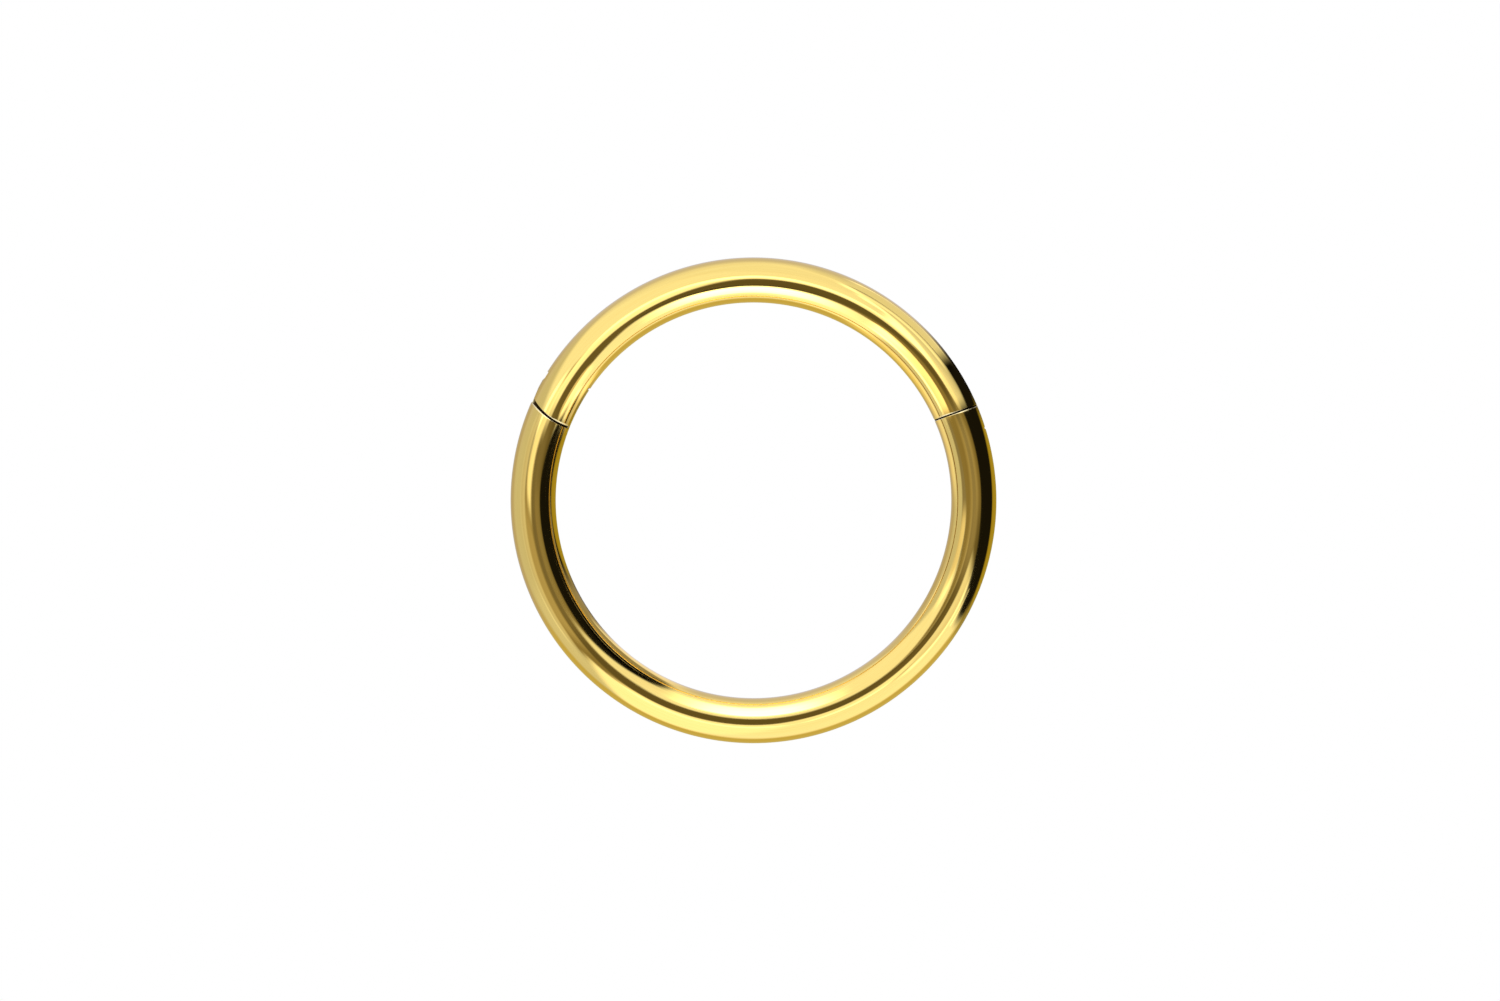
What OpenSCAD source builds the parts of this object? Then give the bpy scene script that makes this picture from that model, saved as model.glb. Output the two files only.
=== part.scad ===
// Hinged segment ring of round polished wire, closed.
// It lies flat: the axis of the ring is Z, its centre is over the origin and the wire rests on z = 0.
// The lower arc is fixed, and the upper arc swings outward about a pin at its left end.

/* [Ring] */
// Thickness of the round wire
wire_d = 1.6; // [1.5:0.1:2]
// Inner diameter of the closed ring
inner_d = 14; // [11:0.5:18]

/* [Seams] */
// Direction of the hinge seam, in degrees from +X
hinge_angle = 158.2; // [152:0.1:164]
// Direction of the clasp seam, in degrees from +X
clasp_angle = 23.4; // [16:0.1:30]
// Rise of the hinge seam towards the segment, at the outer side of the wire
seam_rise = 0.34; // [0.28:0.01:0.36]
// Dip of the hinge seam away from the segment, at the inner side of the wire
seam_dip = 0.09; // [0.05:0.01:0.1]
// Gap of the hinge seam at the inner side of the wire
seam_gap_in = 0.09; // [0.06:0.01:0.1]
// Gap of the hinge seam at the middle of the wire
seam_gap_mid = 0.08; // [0.08:0.01:0.12]
// Gap of the hinge seam at the outer side of the wire
seam_gap_out = 0.17; // [0.14:0.01:0.2]
// Gap of the clasp seam
clasp_gap = 0.06; // [0.02:0.01:0.08]
// Slant of the clasp seam across the wire, in degrees
clasp_slant = 3.4; // [0:0.2:5]

/* [Hinge] */
// Distance of the pin outward from the middle of the wire
pin_out = 0.25; // [0.2:0.01:0.28]
// Distance of the pin from the seam, towards the segment
pin_ahead = 0.95; // [0.95:0.01:1.1]
// Diameter of the pin
pin_d = 0.48; // [0.4:0.02:0.56]
// Depth of the pin in the front ear, which it doesn't pierce
pin_bite = 0.3; // [0.2:0.01:0.32]
// Thickness of the tab
tab_t = 0.5; // [0.4:0.02:0.54]
// Radius of the tab round the pin
tab_r = 0.52; // [0.46:0.01:0.52]
// Distance from the pin to the floor of the slot between the ears
slot_reach = 0.57; // [0.57:0.01:0.65]
// Play of the tab between the ears and round the pin
hinge_play = 0.02; // [0.01:0.005:0.03]

/* [Clasp] */
// Length of the tongue
tongue_l = 0.9; // [0.8:0.05:1.1]
// Thickness of the tongue
tongue_t = 0.4; // [0.34:0.02:0.46]
// Reach of the tongue inward from the middle of the wire
tongue_in = 0.46; // [0.4:0.02:0.5]
// Reach of the tip of the tongue outward, from where its outer corner slants to the wire's surface
tip_out = 0.7; // [0.5:0.02:0.72]
// Bevel of the inner corner of the tip
tongue_bevel = 0.16; // [0.1:0.02:0.2]
// Play of the tongue in its slot
clasp_play = 0.02; // [0.01:0.005:0.03]
// Height of the click nubs over the faces of the tongue
nub_h = 0.035; // [0.03:0.005:0.05]
// Radius of the ball that each nub is a cap of
nub_r = 0.19; // [0.16:0.01:0.2]

/* [Hidden] */

gold = [0.85, 0.69, 0.26];
round_fn = 96;
wire_r = wire_d / 2;
ring_r = inner_d / 2 + wire_r;
// Every cutter passes the wire by this much
over = 0.6;
// The straight sides of the tab stay this share of its radius from the pin, so that they cross its
// round corner
neck_share = 0.96;
neck_half = neck_share * tab_r;
// Pressed fit of the pin in the ears, and room past its end
pin_fit = hinge_play / 2;
pin_top = wire_r + tab_t / 2 + hinge_play + pin_bite;
dimple_depth = 0.01;

// The seam faces at the hinge are arcs through an inner, a middle and an outer point
shoulder_arc = arc_through([-wire_r, -seam_dip], [0, 0], [wire_r, seam_rise]);
ear_arc = arc_through(
    [-wire_r, seam_gap_in - seam_dip],
    [0, seam_gap_mid],
    [wire_r, seam_rise + seam_gap_out]
);

// Centre and radius of the circle through three points, as [x, y, r]
function arc_through(a, b, c) =
    let (
        ab = (b * b - a * a) / 2,
        bc = (c * c - b * b) / 2,
        det = (b.x - a.x) * (c.y - b.y) - (c.x - b.x) * (b.y - a.y),
        x = (ab * (c.y - b.y) - bc * (b.y - a.y)) / det,
        y = ((b.x - a.x) * bc - (c.x - b.x) * ab) / det
    )
    [x, y, norm(a - [x, y])];

// Angle that a length takes up along the middle of the wire
function along(length) = length / ring_r * 180 / PI;

// The wire's own form between two angles
module wire_arc(from, to) {
    rotate_extrude(angle = to - from, start = from, $fn = round_fn)
        translate([ring_r, wire_r])
            circle(r = wire_r, $fn = round_fn);
}

// Local frame at the hinge seam: +X outward across the wire, +Y towards the segment
module at_hinge() {
    rotate([0, 0, hinge_angle])
        translate([ring_r, 0, 0])
            mirror([0, 1, 0])
                children();
}

// Local frame at the clasp seam: +X outward across the wire, +Y towards the segment
module at_clasp() {
    rotate([0, 0, clasp_angle])
        translate([ring_r, 0, 0])
            children();
}

// A flat shape made into a slab that lies at the middle of the wire's height
module mid_slab(thickness) {
    translate([0, 0, wire_r - thickness / 2])
        linear_extrude(height = thickness)
            children();
}

// A flat shape made into a cutter through the whole wire
module through() {
    translate([0, 0, -over])
        linear_extrude(height = wire_d + 2 * over)
            children();
}

// The tab fills the inner side of its slot. Its outer corner is round, to let the floor of the slot pass.
module tab_outline() {
    translate([pin_out, pin_ahead])
        circle(r = tab_r, $fn = round_fn);
    polygon([
        [-wire_r - over, -over],
        [-wire_r - over, pin_ahead + neck_half],
        [pin_out, pin_ahead + neck_half],
        [pin_out + neck_half, pin_ahead],
        [pin_out + neck_half, -over]
    ]);
}

// The outer side of the tongue is the wire's own surface, so that it closes the mouth of its slot
module tongue_outline() {
    polygon([
        [-tongue_in, over],
        [-tongue_in, tongue_bevel - tongue_l],
        [tongue_bevel - tongue_in, -tongue_l],
        [tip_out, -tongue_l],
        [tip_out + over, over - tongue_l],
        [tip_out + over, over]
    ]);
}

// Balls whose caps stand out of both faces of the tongue
module nubs(r) {
    for (side = [-1, 1])
        translate([0, -tongue_l / 2, wire_r + side * (tongue_t / 2 + nub_h - nub_r)])
            sphere(r = r, $fn = round_fn);
}

// Half of the clasp frame on one side of the slanted seam, as far as the tongue reaches
module clasp_side(towards_segment) {
    reach = tongue_l + over;
    rotate([0, 0, -clasp_slant])
        translate([-wire_r - over, towards_segment ? -clasp_gap / 2 : clasp_gap / 2 - reach])
            square([wire_d + 2 * over, reach]);
}

module ring_body() {
    tab_reach = pin_ahead + tab_r + over / 2;
    color(gold)
        difference() {
            wire_arc(hinge_angle - along(tab_reach), clasp_angle + 360 + along(over / 2));
            at_hinge() {
                difference() {
                    translate([shoulder_arc.x, shoulder_arc.y, -over])
                        cylinder(r = shoulder_arc.z, h = wire_d + 2 * over, $fn = round_fn);
                    mid_slab(tab_t)
                        tab_outline();
                }
                translate([pin_out, pin_ahead, -over])
                    cylinder(d = pin_d + 2 * hinge_play, h = wire_d + 2 * over, $fn = round_fn);
            }
            at_clasp() {
                through()
                    clasp_side(towards_segment = true);
                mid_slab(tongue_t + 2 * clasp_play)
                    translate([-tongue_in - clasp_play, -tongue_l - 2 * clasp_play])
                        square([wire_d + over, tongue_l + over]);
                nubs(nub_r + dimple_depth);
            }
        }
}

module hinged_segment() {
    color(gold) {
        difference() {
            wire_arc(clasp_angle - along(tongue_l + over / 2), hinge_angle + along(over / 2));
            at_hinge() {
                through()
                    difference() {
                        translate([-wire_r - over, -over])
                            square([wire_d + 2 * over, 2 * over]);
                        translate([ear_arc.x, ear_arc.y])
                            circle(r = ear_arc.z, $fn = round_fn);
                    }
                mid_slab(tab_t + 2 * hinge_play)
                    translate([-wire_r - over, -over])
                        square([wire_d + 2 * over, over + pin_ahead + slot_reach]);
                translate([pin_out, pin_ahead, -over])
                    cylinder(d = pin_d + 2 * pin_fit, h = pin_top + over, $fn = round_fn);
            }
            at_clasp()
                difference() {
                    through()
                        clasp_side(towards_segment = false);
                    mid_slab(tongue_t)
                        tongue_outline();
                }
        }
        at_clasp()
            nubs(nub_r);
    }
}

module hinge_pin() {
    color(gold)
        intersection() {
            wire_arc(hinge_angle - along(2 * pin_ahead), hinge_angle);
            at_hinge()
                translate([pin_out, pin_ahead, -over])
                    cylinder(d = pin_d, h = pin_top - pin_fit + over, $fn = round_fn);
        }
}

ring_body();
hinged_segment();
hinge_pin();
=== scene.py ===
import bmesh
import bpy
import math
from collections import namedtuple
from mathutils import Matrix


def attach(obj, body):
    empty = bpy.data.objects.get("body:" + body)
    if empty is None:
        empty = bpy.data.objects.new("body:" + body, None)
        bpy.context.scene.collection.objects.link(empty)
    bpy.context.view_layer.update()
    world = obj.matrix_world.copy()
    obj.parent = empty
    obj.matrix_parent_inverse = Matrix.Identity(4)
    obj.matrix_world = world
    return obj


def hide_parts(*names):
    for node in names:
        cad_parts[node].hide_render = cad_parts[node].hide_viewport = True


# All shapes are worked out in millimetres, in the ring's frame, and scaled to metres at the end.
MM = 0.001

# Ring: round wire bent to a circle that lies on z = 0
WIRE_R = 0.8
RING_R = 7.8

# Camera: the ring's middle in the photograph's 1500 x 1001 frame, and its scale there
PHOTO_W = 1500
PHOTO_H = 1001
RING_PX = (753.5, 500.3)
PX_PER_MM = 28.25
CAMERA_MM = 250.0
SENSOR_MM = 36.0
CLIP_M = (0.001, 10.0)


def make_camera():
    """Looks straight down on the ring, as the photograph does."""
    data = bpy.data.cameras.new("camera")
    data.sensor_width = SENSOR_MM
    width_mm = PHOTO_W / PX_PER_MM
    data.lens = SENSOR_MM * (CAMERA_MM - WIRE_R) / width_mm
    data.clip_start, data.clip_end = CLIP_M
    camera = bpy.data.objects.new("camera", data)
    bpy.context.scene.collection.objects.link(camera)
    x = (PHOTO_W / 2 - RING_PX[0]) / PX_PER_MM
    y = (RING_PX[1] - PHOTO_H / 2) / PX_PER_MM
    camera.location = (x * MM, y * MM, CAMERA_MM * MM)
    bpy.context.scene.camera = camera


def make_view():
    settings = bpy.context.scene.view_settings
    settings.view_transform = "Standard"
    settings.look = "None"


# Seams: their angles from +X, and their slants and gaps across the wire. The hinge seam has one gap
# at the inner side of the wire, one in the middle and one at the outer side.
HINGE_ANGLE = 158.2
CLASP_ANGLE = 23.4
SEAM_RISE = 0.34
SEAM_DIP = 0.09
SEAM_GAPS = (0.09, 0.08, 0.17)
CLASP_GAP = 0.06
CLASP_SLANT = 3.4

# Chamfers round the end faces. The body's are full outward, the segment's inward, and the other half
# of each is nearly sharp. A narrow band of faces runs along each chamfer.
HINGE_LIP = 0.052
CLASP_LIP = 0.044
LIP_TILT = 20.0
LIP_BLEND = 0.9
LIP_BAND = 0.03
SHARP_SHARE = 0.1

# A thin step at the root of the tongue closes the clasp seam, so that no light falls through it
STEP_HALF_T = 0.1
STEP_REACH = 0.785
STEP_PLAY = 0.006
STEP_ROOT = 0.05

# Hinge: a tab on the body between two ears of the segment
PIN_OUT = 0.25
PIN_AHEAD = 0.95
PIN_R = 0.24
PIN_BITE = 0.3
PIN_FIT = 0.01
HINGE_PLAY = 0.02
TAB_T = 0.5
TAB_R = 0.52
NECK_SHARE = 0.96
SLOT_REACH = 0.57
PIN_TOP = WIRE_R + TAB_T / 2 + HINGE_PLAY + PIN_BITE

# Clasp: a tongue on the segment in a slot of the body
TONGUE_L = 0.9
TONGUE_T = 0.4
TONGUE_IN = 0.46
TONGUE_BEVEL = 0.16
TONGUE_ROOT = 0.3
TIP_OUT = 0.7
CLASP_PLAY = 0.02
NUB_H = 0.035
NUB_R = 0.19
DIMPLE_DEPTH = 0.01

# Tab, tongue and pin are trimmed to this far under the wire's surface, over these angles before and
# after their seam.
INSET = 0.001
PIN_INSET = 0.004
TAB_TRIM = (16, 8)
TONGUE_TRIM = (12, 6)
PIN_TRIM = (14, 0)

# Fineness of the meshes, and how far every cutter passes the wire
SIDES = 96
STEP_DEG = 1.0
CAP_STEPS = 6
SEAM_ROUNDS = 6
PIN_SIDES = 72
TAB_POINTS = 32
BALL_SEGMENTS = 32
BALL_RINGS = 24
OVER = 0.6

# Edges past this angle are sharp, and points this near to the round surface get its true normal
SHARP_DEG = 32
SURFACE_TOLERANCE = 1e-4


def arc_through(a, b, c):
    """Centre and radius of the circle through three points."""
    ab = (b[0] ** 2 + b[1] ** 2 - a[0] ** 2 - a[1] ** 2) / 2
    bc = (c[0] ** 2 + c[1] ** 2 - b[0] ** 2 - b[1] ** 2) / 2
    det = (b[0] - a[0]) * (c[1] - b[1]) - (c[0] - b[0]) * (b[1] - a[1])
    x = (ab * (c[1] - b[1]) - bc * (b[1] - a[1])) / det
    y = ((b[0] - a[0]) * bc - (c[0] - b[0]) * ab) / det
    return x, y, math.hypot(a[0] - x, a[1] - y)


# The seam faces at the hinge are arcs through an inner, a middle and an outer point
SHOULDER = arc_through((-WIRE_R, -SEAM_DIP), (0, 0), (WIRE_R, SEAM_RISE))
EAR = arc_through(
    (-WIRE_R, SEAM_GAPS[0] - SEAM_DIP),
    (0, SEAM_GAPS[1]),
    (WIRE_R, SEAM_RISE + SEAM_GAPS[2]),
)


def on_arc(arc, x):
    """Height of the near side of a circle at x."""
    return arc[1] - math.sqrt(arc[2] ** 2 - (x - arc[0]) ** 2)


def hinge_shoulder(x):
    return on_arc(SHOULDER, x)


def hinge_ear(x):
    return on_arc(EAR, x)


def clasp_line(x):
    return -x * math.tan(math.radians(CLASP_SLANT))


def clasp_body_end(x):
    return clasp_line(x) - CLASP_GAP / 2


def clasp_segment_end(x):
    return clasp_line(x) + CLASP_GAP / 2


# An end of a stretch of wire: the angle of its seam, the sense in which angles grow towards the
# segment, the height of its face at x across the wire, the side on which the stretch lies, the size
# of its chamfer, and where that is full: 1 is outward and -1 inward.
End = namedtuple("End", "seam sense profile side lip full")


def end_angle(end, rho, inset):
    """Angle round the ring at which the wire, at radius rho, comes within inset of an end's face."""
    turn = 0.0
    for _ in range(SEAM_ROUNDS):
        height = end.profile(rho * math.cos(turn) - RING_R) + end.side * inset
        turn = math.asin(height / rho)
    return math.radians(end.seam) + end.sense * turn


def lip_at(end, psi):
    """Size of an end's chamfer at psi round the wire."""
    share = min(1.0, max(0.0, 0.5 + LIP_BLEND * end.full * math.cos(psi)))
    return end.lip * (SHARP_SHARE + (1 - SHARP_SHARE) * share)


def end_shapes():
    """The rings of points at an end, from the wire's round surface to the middle of the face.

    Each is the share of the chamfer off the radius, the share of the chamfer and the length by which
    it stays short of the face, and the share of the radius that is left.
    """
    depth = math.tan(math.radians(LIP_TILT))
    shapes = [(0.0, 1.0, LIP_BAND, 1.0), (0.0, 1.0, 0.0, 1.0)]
    for k in range(CAP_STEPS):
        shapes.append((depth, 0.0, 0.0, 1 - k / CAP_STEPS))
    return shapes


def add_ring(bm, radius_at, angle_at):
    """Points round the wire, with its radius at psi and their angle round the ring at psi and rho."""
    ring = []
    for j in range(SIDES):
        psi = 2 * math.pi * j / SIDES
        radius = radius_at(psi)
        rho = RING_R + radius * math.cos(psi)
        phi = angle_at(psi, rho)
        z = WIRE_R + radius * math.sin(psi)
        ring.append(bm.verts.new((rho * math.cos(phi), rho * math.sin(phi), z)))
    return ring


def end_ring(bm, end, shape):
    off, short, length, share = shape
    return add_ring(
        bm,
        lambda psi: (WIRE_R - off * lip_at(end, psi)) * share,
        lambda psi, rho: end_angle(end, rho, short * lip_at(end, psi) + length),
    )


def middle_ring(bm, start, end, share):
    """Points at a share of the way from the band of one end to that of the other."""
    def angle_at(psi, rho):
        a = end_angle(start, rho, lip_at(start, psi) + LIP_BAND)
        b = end_angle(end, rho, lip_at(end, psi) + LIP_BAND)
        while b < a:
            b += 2 * math.pi
        return a + (b - a) * share

    return add_ring(bm, lambda psi: WIRE_R, angle_at)


def bridge(bm, rings):
    """Faces between each ring of points and the next."""
    for lower, upper in zip(rings, rings[1:]):
        for j in range(len(lower)):
            k = (j + 1) % len(lower)
            bm.faces.new((lower[j], lower[k], upper[k], upper[j]))


def to_mesh(bm, name):
    mesh = bpy.data.meshes.new(name)
    bm.to_mesh(mesh)
    bm.free()
    return mesh


def new_object(name, mesh):
    obj = bpy.data.objects.new(name, mesh)
    bpy.context.scene.collection.objects.link(obj)
    return obj


def solid(bm, name):
    """An object of a closed form, with its faces turned outward."""
    bmesh.ops.recalc_face_normals(bm, faces=bm.faces)
    return new_object(name, to_mesh(bm, name))


def wire(name, start, end):
    """A stretch of the wire between two ends."""
    bm = bmesh.new()
    span = math.degrees(end_angle(end, RING_R, 0.0) - end_angle(start, RING_R, 0.0)) % 360
    steps = max(2, round(span / STEP_DEG))
    rings = [end_ring(bm, start, shape) for shape in reversed(end_shapes())]
    rings += [middle_ring(bm, start, end, i / steps) for i in range(1, steps)]
    rings += [end_ring(bm, end, shape) for shape in end_shapes()]
    bridge(bm, rings)
    for ring, tip in ((rings[0], start), (rings[-1], end)):
        phi = end_angle(tip, RING_R, 0.0)
        middle = bm.verts.new((RING_R * math.cos(phi), RING_R * math.sin(phi), WIRE_R))
        for j in range(SIDES):
            bm.faces.new((ring[j], ring[(j + 1) % SIDES], middle))
    return solid(bm, name)


def thin_wire(name, radius, start_deg, end_deg):
    """A plain stretch of thinner wire."""
    bm = bmesh.new()
    steps = max(4, round(abs(end_deg - start_deg) / STEP_DEG))
    rings = []
    for i in range(steps + 1):
        phi = math.radians(start_deg + (end_deg - start_deg) * i / steps)
        rings.append(add_ring(bm, lambda psi: radius, lambda psi, rho: phi))
    bridge(bm, rings)
    bm.faces.new(rings[0])
    bm.faces.new(rings[-1])
    return solid(bm, name)


def at_hinge(x, y):
    """Ring coordinates of a point in the hinge's frame: x outward, y towards the segment."""
    a = math.radians(HINGE_ANGLE)
    rho = RING_R + x
    return rho * math.cos(a) + y * math.sin(a), rho * math.sin(a) - y * math.cos(a)


def at_clasp(x, y):
    """Ring coordinates of a point in the clasp's frame: x outward, y towards the segment."""
    a = math.radians(CLASP_ANGLE)
    rho = RING_R + x
    return rho * math.cos(a) - y * math.sin(a), rho * math.sin(a) + y * math.cos(a)


def prism(name, outline, low, high):
    """A flat outline of (x, y) points raised between two heights."""
    bm = bmesh.new()
    bottom = [bm.verts.new((x, y, low)) for x, y in outline]
    top = [bm.verts.new((x, y, high)) for x, y in outline]
    bm.faces.new(bottom)
    bm.faces.new(top)
    bridge(bm, [bottom, top])
    return solid(bm, name)


def mid_slab(name, outline, thickness):
    """A slab at the middle of the wire's height."""
    return prism(name, outline, WIRE_R - thickness / 2, WIRE_R + thickness / 2)


def rectangle(place, low, high):
    """Corners of a rectangle in a seam's frame."""
    corners = [low, (high[0], low[1]), high, (low[0], high[1])]
    return [place(x, y) for x, y in corners]


def circle(x, y, radius, count, start=0.0, end=360.0):
    """Points of a circle, or of an arc with both of its ends."""
    whole = abs(end - start) >= 360
    steps = count if whole else count - 1
    points = []
    for i in range(count):
        a = math.radians(start + (end - start) * i / steps)
        points.append((x + radius * math.cos(a), y + radius * math.sin(a)))
    return points


def ball(name, x, y, z, radius):
    bm = bmesh.new()
    bmesh.ops.create_uvsphere(bm, u_segments=BALL_SEGMENTS, v_segments=BALL_RINGS, radius=radius)
    bmesh.ops.translate(bm, verts=bm.verts, vec=(x, y, z))
    return new_object(name, to_mesh(bm, name))


def combine(target, tool, operation):
    """Joins, cuts or intersects target with tool, and removes the tool."""
    modifier = target.modifiers.new("combine", "BOOLEAN")
    modifier.operation = operation
    modifier.solver = "EXACT"
    modifier.object = tool
    graph = bpy.context.evaluated_depsgraph_get()
    mesh = bpy.data.meshes.new_from_object(target.evaluated_get(graph))
    target.modifiers.remove(modifier)
    old = target.data
    target.data = mesh
    bpy.data.meshes.remove(old)
    old = tool.data
    bpy.data.objects.remove(tool)
    bpy.data.meshes.remove(old)


def trim(target, inset, seam, reach):
    """Cuts target back to the wire's form, less an inset, round a seam."""
    before, after = reach
    combine(target, thin_wire("trim", WIRE_R - inset, seam - before, seam + after), "INTERSECT")


def wire_normal(point):
    """The wire's normal at a point of its round surface, and None off that surface."""
    x, y, z = point
    rho = math.hypot(x, y)
    out = rho - RING_R
    up = z - WIRE_R
    radius = math.hypot(out, up)
    if min(abs(radius - WIRE_R), abs(radius - WIRE_R + INSET)) > SURFACE_TOLERANCE:
        return None
    share = out / (radius * rho)
    return x * share, y * share, up / radius


def finish_mesh(obj):
    """Smooth shading with sharp cut edges and the wire's true normals, at the size in metres."""
    mesh = obj.data
    for poly in mesh.polygons:
        poly.use_smooth = True
    mesh.set_sharp_from_angle(angle=math.radians(SHARP_DEG))
    normals = [tuple(n.vector) for n in mesh.corner_normals]
    for poly in mesh.polygons:
        true_normals = [wire_normal(mesh.vertices[v].co) for v in poly.vertices]
        if None not in true_normals:
            for loop, normal in zip(poly.loop_indices, true_normals):
                normals[loop] = normal
    mesh.normals_split_custom_set(normals)
    for v in mesh.vertices:
        v.co *= MM
    mesh.update()


def make_tab():
    """The tab's straight sides stay just inside its round corner, as they do in the solids."""
    neck = NECK_SHARE * TAB_R
    crossing = math.degrees(math.acos(NECK_SHARE))
    points = [(-WIRE_R - OVER, -OVER), (-WIRE_R - OVER, PIN_AHEAD + neck)]
    points += circle(PIN_OUT, PIN_AHEAD, TAB_R, TAB_POINTS, 90 + crossing, -crossing)
    points.append((PIN_OUT + neck, -OVER))
    tab = mid_slab("tab", [at_hinge(x, y) for x, y in points], TAB_T)
    trim(tab, INSET, HINGE_ANGLE, TAB_TRIM)
    return tab


def pin_cutter(name, radius, top):
    """An upright cylinder on the hinge's axis, from under the ring up to a height."""
    x, y = at_hinge(PIN_OUT, PIN_AHEAD)
    return prism(name, circle(x, y, radius, PIN_SIDES), -OVER, top)


def click_balls(name, radius):
    """Two balls whose caps stand out of the faces of the tongue, or cut their dimples."""
    x, y = at_clasp(0, -TONGUE_L / 2)
    rise = TONGUE_T / 2 + NUB_H - NUB_R
    return [ball(name, x, y, WIRE_R + side * rise, radius) for side in (-1, 1)]


def make_step():
    """A strip that fills the clasp seam, from inside the segment to just short of the body."""
    corners = []
    for x in (-STEP_REACH, STEP_REACH):
        corners.append(at_clasp(x, clasp_body_end(x) + STEP_PLAY))
    for x in (STEP_REACH, -STEP_REACH):
        corners.append(at_clasp(x, clasp_segment_end(x) + STEP_ROOT))
    return mid_slab("step", corners, 2 * STEP_HALF_T)


def make_tongue():
    """The tongue with its step and its nubs. Its outer side is the wire's own surface."""
    corners = [
        (-TONGUE_IN, TONGUE_ROOT),
        (-TONGUE_IN, TONGUE_BEVEL - TONGUE_L),
        (TONGUE_BEVEL - TONGUE_IN, -TONGUE_L),
        (TIP_OUT, -TONGUE_L),
        (TIP_OUT + OVER, OVER - TONGUE_L),
        (TIP_OUT + OVER, TONGUE_ROOT),
    ]
    tongue = mid_slab("tongue", [at_clasp(x, y) for x, y in corners], TONGUE_T)
    trim(tongue, INSET, CLASP_ANGLE, TONGUE_TRIM)
    combine(tongue, make_step(), "UNION")
    for nub in click_balls("nub", NUB_R):
        combine(tongue, nub, "UNION")
    return tongue


def make_body():
    """The fixed lower arc, with the tab at one end and the slot for the tongue at the other."""
    start = End(HINGE_ANGLE, -1, hinge_shoulder, -1, HINGE_LIP, 1)
    end = End(CLASP_ANGLE + 360, 1, clasp_body_end, -1, CLASP_LIP, 1)
    body = wire("polished_ring_body", start, end)
    combine(body, make_tab(), "UNION")
    combine(body, pin_cutter("bore", PIN_R + HINGE_PLAY, 2 * WIRE_R + OVER), "DIFFERENCE")
    low = (-TONGUE_IN - CLASP_PLAY, -TONGUE_L - 2 * CLASP_PLAY)
    high = (WIRE_R + OVER, OVER)
    slot = mid_slab("slot", rectangle(at_clasp, low, high), TONGUE_T + 2 * CLASP_PLAY)
    combine(body, slot, "DIFFERENCE")
    for dimple in click_balls("dimple", NUB_R + DIMPLE_DEPTH):
        combine(body, dimple, "DIFFERENCE")
    finish_mesh(body)
    return body


def make_segment():
    """The upper arc that opens, with the tongue at one end and the ears at the other."""
    start = End(CLASP_ANGLE, 1, clasp_segment_end, 1, CLASP_LIP, -1)
    end = End(HINGE_ANGLE, -1, hinge_ear, 1, HINGE_LIP, -1)
    segment = wire("polished_segment", start, end)
    low = (-WIRE_R - OVER, -OVER)
    high = (WIRE_R + OVER, PIN_AHEAD + SLOT_REACH)
    slot = mid_slab("slot", rectangle(at_hinge, low, high), TAB_T + 2 * HINGE_PLAY)
    combine(segment, slot, "DIFFERENCE")
    combine(segment, pin_cutter("bore", PIN_R + PIN_FIT, PIN_TOP), "DIFFERENCE")
    combine(segment, make_tongue(), "UNION")
    finish_mesh(segment)
    return segment


def make_pin():
    """The pin, whose lower end follows the wire's surface."""
    pin = pin_cutter("polished_hinge_pin", PIN_R, PIN_TOP - PIN_FIT)
    trim(pin, PIN_INSET, HINGE_ANGLE, PIN_TRIM)
    finish_mesh(pin)
    return pin


class Graph:
    """Short names for the nodes of one shader tree."""

    def __init__(self, tree):
        self.tree = tree
        self.tree.nodes.clear()

    def node(self, kind, **values):
        node = self.tree.nodes.new(kind)
        for key, value in values.items():
            setattr(node, key, value)
        return node

    def put(self, socket, value):
        if isinstance(value, bpy.types.NodeSocket):
            self.tree.links.new(value, socket)
        else:
            socket.default_value = value

    def math(self, operation, a, b=0.0, c=0.0):
        node = self.node("ShaderNodeMath", operation=operation)
        self.put(node.inputs[0], a)
        self.put(node.inputs[1], b)
        self.put(node.inputs[2], c)
        return node.outputs[0]

    def hypot(self, a, b):
        squares = self.math("ADD", self.math("MULTIPLY", a, a), self.math("MULTIPLY", b, b))
        return self.math("SQRT", squares)

    def bearing(self, x, y):
        """Angle of (x, y) from the x axis, in degrees."""
        return self.math("DEGREES", self.math("ARCTAN2", y, x))

    def step(self, value, low, high, at_low, at_high):
        """Soft step from at_low, where value is low or less, to at_high."""
        node = self.node("ShaderNodeMapRange", interpolation_type="SMOOTHSTEP")
        self.put(node.inputs["Value"], value)
        self.put(node.inputs["From Min"], low)
        self.put(node.inputs["From Max"], high)
        self.put(node.inputs["To Min"], at_low)
        self.put(node.inputs["To Max"], at_high)
        return node.outputs["Result"]

    def blend(self, factor, a, b, label=""):
        node = self.node("ShaderNodeMix", data_type="RGBA", label=label)
        self.put(node.inputs[0], factor)
        self.put(node.inputs[6], a)
        self.put(node.inputs[7], b)
        return node.outputs[2]

    def split(self, vector):
        node = self.node("ShaderNodeSeparateXYZ")
        self.put(node.inputs[0], vector)
        return node.outputs

    def emit(self, colour, shader="ShaderNodeEmission", output="ShaderNodeOutputLight"):
        """Makes light of a colour the tree's output."""
        emission = self.node(shader)
        self.put(emission.inputs["Color"], colour)
        self.put(self.node(output).inputs["Surface"], emission.outputs[0])


# Tints of the lamps: red, green and blue
NEUTRAL = (1.0, 1.0, 1.0)
COOL = (0.95, 1.065, 1.3)
HAZY = (1.0, 1.08, 1.5)
WARM = (1.0, 0.93, 0.42)
OLIVE = (1.0, 0.9, 0.55)
AMBER = (1.0, 0.86, 0.12)

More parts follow.
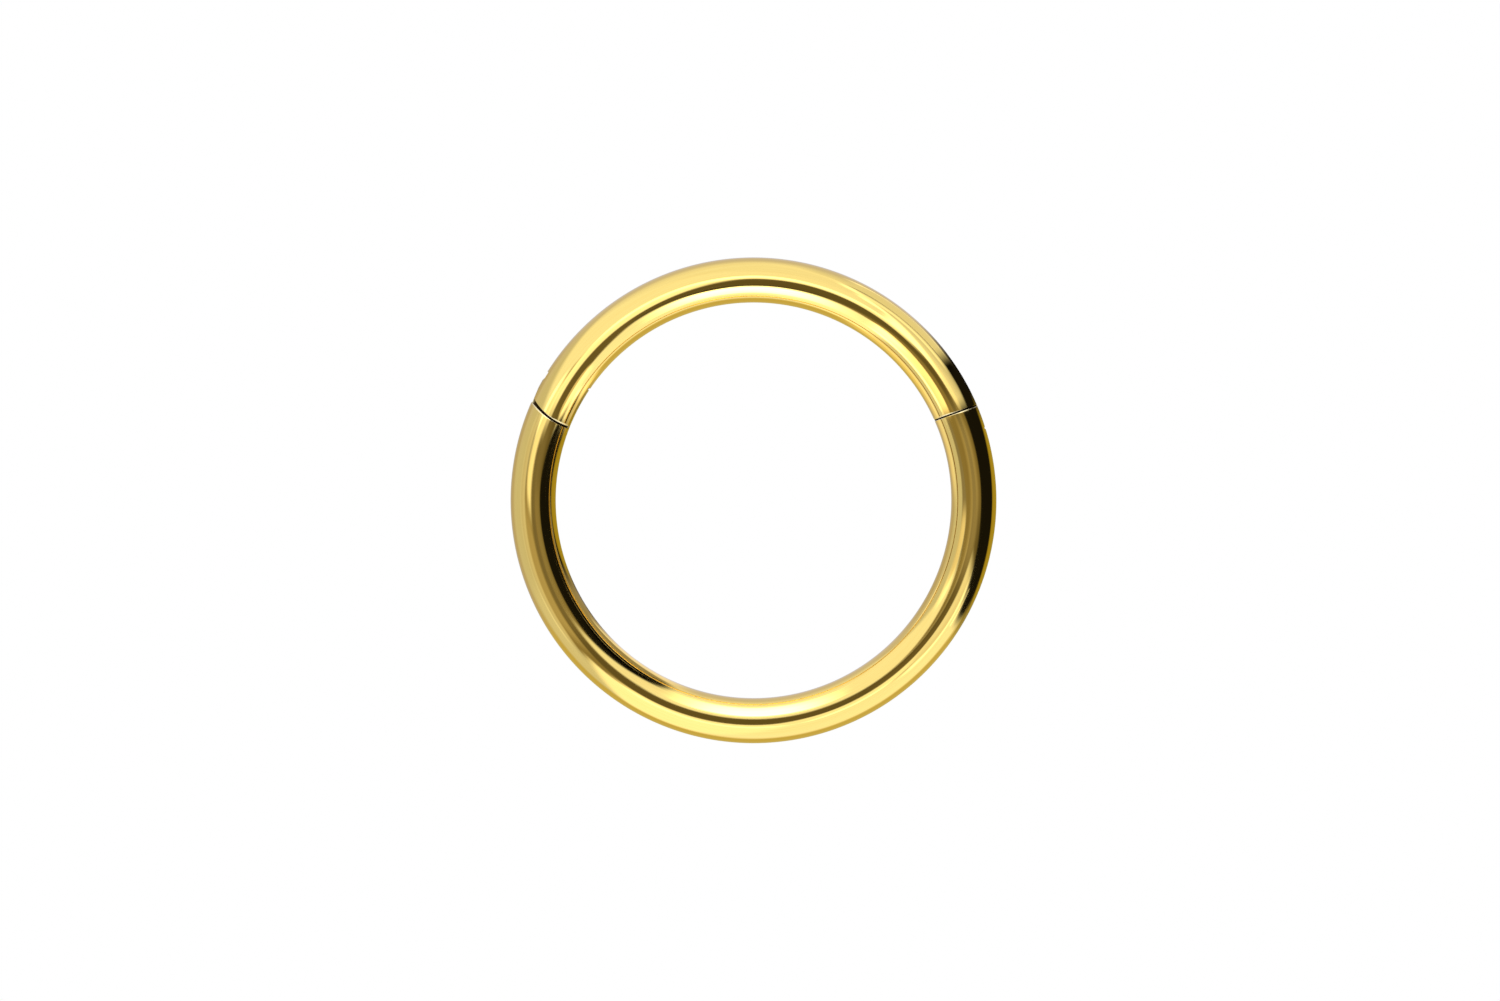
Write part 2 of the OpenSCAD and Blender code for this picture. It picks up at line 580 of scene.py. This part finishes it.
# Soft boxes, walls and dark gaps far from the ring. Each covers the ones before it.
# Columns: name, place and half width round the ring, place and half width down from the zenith
# (all in degrees), corner radius, softness, stretch of the corner and softness round the ring,
# lean (degrees round the ring for each degree down), strength, tint
FAR_LIGHTS = [
    ("zenith_gap", 0, 400, 0, 28, 6, 5, 1, 0, 0.125, OLIVE),
    ("olive_right", 4, 50, 22, 13, 6, 4, 1, 0, 0.22, OLIVE),
    ("left_wall", 188, 62, 120, 84, 16, 10, 1, 0, 0.67, COOL),
    ("left_shelf", 188, 30, 51, 12, 8, 4, 1, 0, 0.27, NEUTRAL),
    ("left_corner", 220, 18, 80, 20, 8, 5, 1, 0, 0.75, COOL),
    ("top_box", 104, 42, 70, 60, 10, 5, 1, -0.44, 1.12, COOL),
    ("top_box_right", 82, 22, 56, 42, 20, 5, 1, 0.8, 1.05, COOL),
    ("top_box_notch", 82, 22, 26, 16, 6, 4, 1, 0, 1.1, COOL),
    ("top_box_low", 58, 19, 102, 22, 8, 4, 1, 0, 0.95, COOL),
    ("olive_left", 202, 45, 28, 20, 8, 6, 1, 1.6, 0.27, OLIVE),
    ("bottom_box", -98, 30, 82, 50, 12, 4, 1, 0.2, 1.35, COOL),
    ("bottom_box_right", -64.5, 32, 82, 50, 12, 4, 1, -0.35, 1.17, COOL),
    ("bottom_box_low", -52, 21, 94, 25, 6, 3, 1, 0, 1.2, COOL),
    ("hinge_gap", -30, 28, 8, 41, 30, 4, 1, 0, 0.15, OLIVE),
    ("right_low", -3, 25, 157, 50, 30, 5, 1, 0, 0.40, AMBER),
    ("top_low", 104, 62, 150, 48, 24, 22, 0.35, 0, 0.64, HAZY),
    ("left_low", 184, 42, 160, 44, 14, 12, 1, 0, 0.52, NEUTRAL),
    ("bottom_low", -90, 60, 150, 46, 12, 9, 1, 0, 0.60, WARM),
    ("far_gap", 50, 16, 92, 32, 16, 3, 1, 0, 0.0, NEUTRAL),
]
FAR_LEVEL = 0.009

# Lamps in the panel that hangs just over the ring. The columns are the same, but the place and
# half width across the wire are in hundredths of its radius, outward from its middle.
PANEL_LIGHTS = [
    ("top_right", 39.3, 14.6, 37, 24, 8, 2.5, 1, 0, 0.8, COOL),
    ("top_right_side", 57.5, 5, 46, 8, 4, 2.5, 1, 0, 0.8, COOL),
    ("top_right_far", 51, 16, 58, 8, 5, 3, 1, 0, 1.6, COOL),
    ("top_line", 88, 44, 11, 7, 4, 3, 2, 0, 0.8, COOL),
    ("top_left", 130, 34, 3, 12, 6, 4, 2, -1.2, 0.9, COOL),
    ("top_left_end", 155, 8, 16, 16, 8, 4, 1, 0, 0.8, COOL),
    ("left_strip", 168, 14, 19, 12, 8, 5, 1, -0.3, 0.72, COOL),
    ("left_glow", 200, 18, 25, 14, 8, 6, 1, -0.3, 0.16, NEUTRAL),
    ("left_wall_top", 188, 30, 45.5, 8.5, 5, 4, 1, 0, 0.42, COOL),
    ("left_shade", 188, 30, -10, 18, 10, 8, 1, 0, 0.05, NEUTRAL),
    ("right_shade", 2, 22, 2, 18, 10, 8, 1, 0, 0.12, NEUTRAL),
    ("bottom_line", 264, 30, 26, 6, 4, 3, 2, 0, 0.95, COOL),
    ("bottom_line_right", 306, 28, 25, 8, 4, 3, 2, 0, 0.9, COOL),
    ("bottom_line_end", 328, 15, 32, 15, 6, 4, 1, -0.2, 0.68, COOL),
    ("right_tail", 344, 13, -44, 9, 6, 4, 1, 0, 0.6, NEUTRAL),
    ("top_core", 92, 21, -63, 30, 5, 4, 3, 0, 3.6, NEUTRAL),
    ("bottom_core", 271, 16, -60, 38, 5, 4, 3, 0, 3.6, NEUTRAL),
    ("hinge_end", 148.6, 8, -50, 15, 4, 1.5, 1, 0, 0.55, NEUTRAL),
    ("clasp_end", 40, 15.5, -41, 16, 5, 2.5, 1, 0, 1.1, NEUTRAL),
    ("clasp_end_far", 41, 15, -60, 8, 4, 2, 1, 0, 2.4, NEUTRAL),
    ("centre_gap", 0, 400, -61, 2.5, 1, 1, 1, 0, 0.0, NEUTRAL),
]
PANEL_SIZE = 44.0
PANEL_Z = 3.6
PANEL_RISE = 2.2
# The panel's grid keeps its light within this angle, so that it isn't seen from across the ring
PANEL_SPREAD = 156.0

# Glow of the floor inside the ring, which only the wire's inner side mirrors. The columns are the
# same, but the place and half width across are in tenths of a millimetre from the ring's middle.
HOLE_LIGHTS = [
    ("left_near", 226, 23, 30, 36, 8, 6, 1, 0, 0.32, NEUTRAL),
    ("left_far", 32, 30, 20, 36, 8, 6, 1, 0, 0.32, NEUTRAL),
    ("left_middle", 214, 34, 0, 12, 4, 3, 1, 0, 0.32, NEUTRAL),
    ("hinge_near", 150, 8.5, 25, 28, 8, 4, 1, 0, 0.62, NEUTRAL),
    ("clasp_near", 42, 17, 20, 17, 6, 3, 1, 0, 0.55, NEUTRAL),
]
HOLE_SIZE = 14.0
HOLE_Z = -0.2

# Lamps just outside the ring. The low one is too low for the far side of the wire to mirror it. The
# high one is seen only from across the ring.
# Columns: name, direction from the ring's middle, distance from it, half width and softness in
# degrees, lower and upper edge, tilt down and spread in degrees, strength, tint
NEAR_LAMPS = [
    ("low_lamp", 51.7, 10.6, 14.3, 3.0, -0.3, 1.98, 0, 180, 0.88, COOL),
    ("high_lamp", -27.5, 8.8, 5.2, 0.5, 1.8, 7.2, 9, 40, 0.066, COOL),
]


def tinted(strength, tint):
    return tuple(strength * c for c in tint) + (1.0,)


BLACK = tinted(0.0, NEUTRAL)


def light_patch(graph, row, around, across, base):
    """The base colour with one soft rounded patch laid over it."""
    name, mid, half, level, half_level, corner, soft, stretch, lean, strength, tint = row
    off_level = graph.math("SUBTRACT", across, level)
    middle = graph.math("MULTIPLY_ADD", off_level, lean, mid)
    off = graph.math("WRAP", graph.math("SUBTRACT", around, middle), 180.0, -180.0)
    off = graph.math("SUBTRACT", graph.math("ABSOLUTE", off), half)
    off = graph.math("MAXIMUM", graph.math("MULTIPLY_ADD", off, 1 / stretch, corner), 0.0)
    off_level = graph.math("SUBTRACT", graph.math("ABSOLUTE", off_level), half_level - corner)
    off_level = graph.math("MAXIMUM", off_level, 0.0)
    distance = graph.hypot(off, off_level)
    mask = graph.step(distance, corner - soft, corner + soft, 1.0, 0.0)
    return graph.blend(mask, base, tinted(strength, tint), name)


def light_patches(graph, rows, around, across, base):
    colour = base
    for row in rows:
        colour = light_patch(graph, row, around, across, colour)
    return colour


def make_world():
    """The studio far from the ring."""
    world = bpy.data.worlds.new("studio")
    bpy.context.scene.world = world
    world.use_nodes = True
    graph = Graph(world.node_tree)
    x, y, z = graph.split(graph.node("ShaderNodeTexCoord").outputs["Generated"])
    around = graph.bearing(x, y)
    down = graph.bearing(z, graph.hypot(x, y))
    colour = light_patches(graph, FAR_LIGHTS, around, down, tinted(FAR_LEVEL, NEUTRAL))
    graph.emit(colour, "ShaderNodeBackground", "ShaderNodeOutputWorld")


def lamp_data(name, width, height):
    """A flat lamp that is as bright as its emission says, whatever its size."""
    data = bpy.data.lights.new(name, "AREA")
    data.shape = "RECTANGLE"
    data.size = width * MM
    data.size_y = height * MM
    data.energy = math.pi * data.size * data.size_y
    data.use_nodes = True
    return data


def place_lamp(data, location, rotation):
    """Hangs up a lamp, which the camera doesn't see itself. It shines along its own -Z."""
    lamp = bpy.data.objects.new(data.name, data)
    lamp.location = [value * MM for value in location]
    lamp.rotation_euler = rotation
    lamp.visible_camera = False
    bpy.context.scene.collection.objects.link(lamp)


def point_on_lamp(graph):
    """Angle round the ring, in degrees, and distance from its axis of a point on a lamp."""
    x, y, _ = graph.split(graph.node("ShaderNodeNewGeometry").outputs["Position"])
    return graph.bearing(x, y), graph.hypot(x, y)


def make_panel():
    """A lamp panel over the ring, lit in patches that follow the wire."""
    data = lamp_data("panel", PANEL_SIZE, PANEL_SIZE)
    data.spread = math.radians(PANEL_SPREAD)
    graph = Graph(data.node_tree)
    around, rho = point_on_lamp(graph)
    tilt = graph.math("ARCTAN2", graph.math("SUBTRACT", rho, RING_R * MM), PANEL_RISE * MM)
    across = graph.math("MULTIPLY", graph.math("SINE", graph.math("MULTIPLY", tilt, 0.5)), 100.0)
    graph.emit(light_patches(graph, PANEL_LIGHTS, around, across, BLACK))
    place_lamp(data, (0, 0, PANEL_Z), (0, 0, 0))


def make_hole_glow():
    """A lamp under the ring's hole that shines up."""
    data = lamp_data("hole_glow", HOLE_SIZE, HOLE_SIZE)
    graph = Graph(data.node_tree)
    around, rho = point_on_lamp(graph)
    across = graph.math("MULTIPLY", rho, 10 / MM)
    graph.emit(light_patches(graph, HOLE_LIGHTS, around, across, BLACK))
    place_lamp(data, (0, 0, HOLE_Z), (math.pi, 0, 0))


def make_near_lamp(row):
    """An upright lamp that faces the ring's middle, with soft sides."""
    name, direction, distance, half, soft, low, high, tilt, spread, strength, tint = row
    width = 2 * distance * math.tan(math.radians(half + soft))
    data = lamp_data(name, width, high - low)
    data.spread = math.radians(spread)
    graph = Graph(data.node_tree)
    around, _ = point_on_lamp(graph)
    turn = graph.math("ABSOLUTE", graph.math("SUBTRACT", around, direction))
    fade = graph.step(turn, half - soft, half + soft, 1.0, 0.0)
    graph.emit(graph.blend(fade, BLACK, tinted(strength, tint)))
    angle = math.radians(direction)
    place = (distance * math.cos(angle), distance * math.sin(angle), (low + high) / 2)
    place_lamp(data, place, (math.radians(90 - tilt), 0, angle + math.pi / 2))


# White sweep, in metres: a floor that turns up into a wall all round
FLOOR_CORE_R = 0.02
FLOOR_R = 1.2
BEND_R = 0.3
BEND_STEPS = 8
WALL_H = 1.2
FLOOR_SIDES = 64


def make_floor():
    """A white floor that shines evenly. The ring mirrors the studio in its place."""
    profile = [(FLOOR_CORE_R, 0.0), (FLOOR_R, 0.0)]
    for k in range(1, BEND_STEPS + 1):
        a = math.radians(90 * k / BEND_STEPS)
        profile.append((FLOOR_R + BEND_R * math.sin(a), BEND_R * (1 - math.cos(a))))
    profile.append((FLOOR_R + BEND_R, WALL_H))
    bm = bmesh.new()
    rings = []
    for radius, z in profile:
        rings.append([bm.verts.new((x, y, z)) for x, y in circle(0, 0, radius, FLOOR_SIDES)])
    bm.faces.new(rings[0])
    bridge(bm, rings)
    floor = new_object("floor", to_mesh(bm, "floor"))
    material = bpy.data.materials.new("floor_white")
    material.use_nodes = True
    graph = Graph(material.node_tree)
    graph.emit(tinted(1.0, NEUTRAL), output="ShaderNodeOutputMaterial")
    floor.data.materials.append(material)
    floor.visible_glossy = False
    floor.visible_shadow = False


# Gold coat: two tones in faint lines along the wire, a paler one on the chamfers that is a painted
# highlight, a duller one on sawn faces, and painted shade, near black, in the seams where ambient
# occlusion finds faces close. Limits are distances from the middle of the wire.
LINE_TONES = ((0.93, 0.60, 0.14, 1), (0.98, 0.70, 0.20, 1))
LIP_HIGHLIGHT_TONE = (0.97, 0.76, 0.38, 1)
SAWN_TONE = (0.62, 0.40, 0.10, 1)
SHADE_TONE = (0.03, 0.015, 0.004, 1)
SAWN_UP_TO = (0.70, 0.735)
LIP_FROM = (0.72, 0.74)
LIP_UP_TO = (0.7965, 0.7985)
SHADE_REACH = 0.35
SHADE_LIMITS = (0.5, 0.92)
SHADE_SAMPLES = 8
LINES_ALONG = 2.2
LINES_ROUND = 26.0
LINES_DETAIL = 2.0
LINE_LIMITS = (0.3, 0.7)
POLISH = (0.05, 0.1)
LIP_DULL = 0.3
SAWN_DULL = 0.35
BUMP_STRENGTH = 0.06
BUMP_DEPTH = 0.004


def point_in_wire(graph):
    """Angle round the ring, angle round the wire, and distance from its middle in millimetres."""
    x, y, z = graph.split(graph.node("ShaderNodeTexCoord").outputs["Object"])
    around = graph.math("ARCTAN2", y, x)
    out = graph.math("SUBTRACT", graph.hypot(x, y), RING_R * MM)
    up = graph.math("SUBTRACT", z, WIRE_R * MM)
    return around, graph.math("ARCTAN2", up, out), graph.math("DIVIDE", graph.hypot(out, up), MM)


def polish_lines(graph, around, turn):
    """Noise that is drawn out along the wire."""
    place = graph.node("ShaderNodeCombineXYZ")
    graph.put(place.inputs[0], graph.math("MULTIPLY", around, LINES_ALONG))
    graph.put(place.inputs[1], graph.math("MULTIPLY", graph.math("COSINE", turn), LINES_ROUND))
    graph.put(place.inputs[2], graph.math("MULTIPLY", graph.math("SINE", turn), LINES_ROUND))
    lines = graph.node("ShaderNodeTexNoise")
    graph.put(lines.inputs["Vector"], place.outputs[0])
    graph.put(lines.inputs["Scale"], 1.0)
    graph.put(lines.inputs["Detail"], LINES_DETAIL)
    return lines.outputs["Fac"]


def gold_tone(graph, streak, sawn, lip):
    tone = graph.blend(streak, *LINE_TONES)
    # Painted highlight: the chamfers get a paler gold, which whitens the light they mirror.
    tone = graph.blend(lip, tone, LIP_HIGHLIGHT_TONE)
    tone = graph.blend(sawn, tone, SAWN_TONE)
    # Painted shade: the colour turns near black where ambient occlusion finds other faces close, in
    # the seams and gaps.
    gap = graph.node("ShaderNodeAmbientOcclusion", samples=SHADE_SAMPLES)
    graph.put(gap.inputs["Distance"], SHADE_REACH * MM)
    shade = graph.step(gap.outputs["AO"], *SHADE_LIMITS, 1.0, 0.0)
    return graph.blend(shade, tone, SHADE_TONE)


def gold(name):
    """Polished gold coat, with a painted highlight on the chamfers and painted shade in the seams."""
    material = bpy.data.materials.new(name)
    material.use_nodes = True
    graph = Graph(material.node_tree)
    around, turn, tube = point_in_wire(graph)
    streak = polish_lines(graph, around, turn)
    sawn = graph.step(tube, *SAWN_UP_TO, 1.0, 0.0)
    lip = graph.step(tube, *LIP_FROM, 0.0, 1.0)
    lip = graph.math("MULTIPLY", lip, graph.step(tube, *LIP_UP_TO, 1.0, 0.0))
    shader = graph.node("ShaderNodeBsdfPrincipled")
    graph.put(shader.inputs["Metallic"], 1.0)
    graph.put(shader.inputs["Base Color"], gold_tone(graph, streak, sawn, lip))
    roughness = graph.step(streak, *LINE_LIMITS, *POLISH)
    roughness = graph.math("MULTIPLY_ADD", lip, LIP_DULL, roughness)
    graph.put(shader.inputs["Roughness"], graph.math("MULTIPLY_ADD", sawn, SAWN_DULL, roughness))
    bump = graph.node("ShaderNodeBump")
    graph.put(bump.inputs["Strength"], BUMP_STRENGTH)
    graph.put(bump.inputs["Distance"], BUMP_DEPTH * MM)
    graph.put(bump.inputs["Height"], streak)
    graph.put(shader.inputs["Normal"], bump.outputs[0])
    output = graph.node("ShaderNodeOutputMaterial")
    graph.put(output.inputs["Surface"], shader.outputs[0])
    return material


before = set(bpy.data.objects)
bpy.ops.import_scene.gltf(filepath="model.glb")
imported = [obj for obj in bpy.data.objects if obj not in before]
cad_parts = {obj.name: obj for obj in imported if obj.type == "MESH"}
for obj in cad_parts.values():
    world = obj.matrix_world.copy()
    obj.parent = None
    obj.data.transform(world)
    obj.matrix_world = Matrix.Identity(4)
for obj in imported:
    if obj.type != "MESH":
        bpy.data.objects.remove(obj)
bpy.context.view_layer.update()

make_camera()
make_view()

for piece, node, body, slot in (
    (make_body(), "ring_body", "hoop", "gold_body"),
    (make_segment(), "hinged_segment", "segment", "gold_segment"),
    (make_pin(), "hinge_pin", "segment", "gold_pin"),
):
    piece.data.materials.clear()
    piece.data.materials.append(gold(slot))
    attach(piece, body)
    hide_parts(node)

make_floor()
make_world()
make_panel()
make_hole_glow()
for row in NEAR_LAMPS:
    make_near_lamp(row)
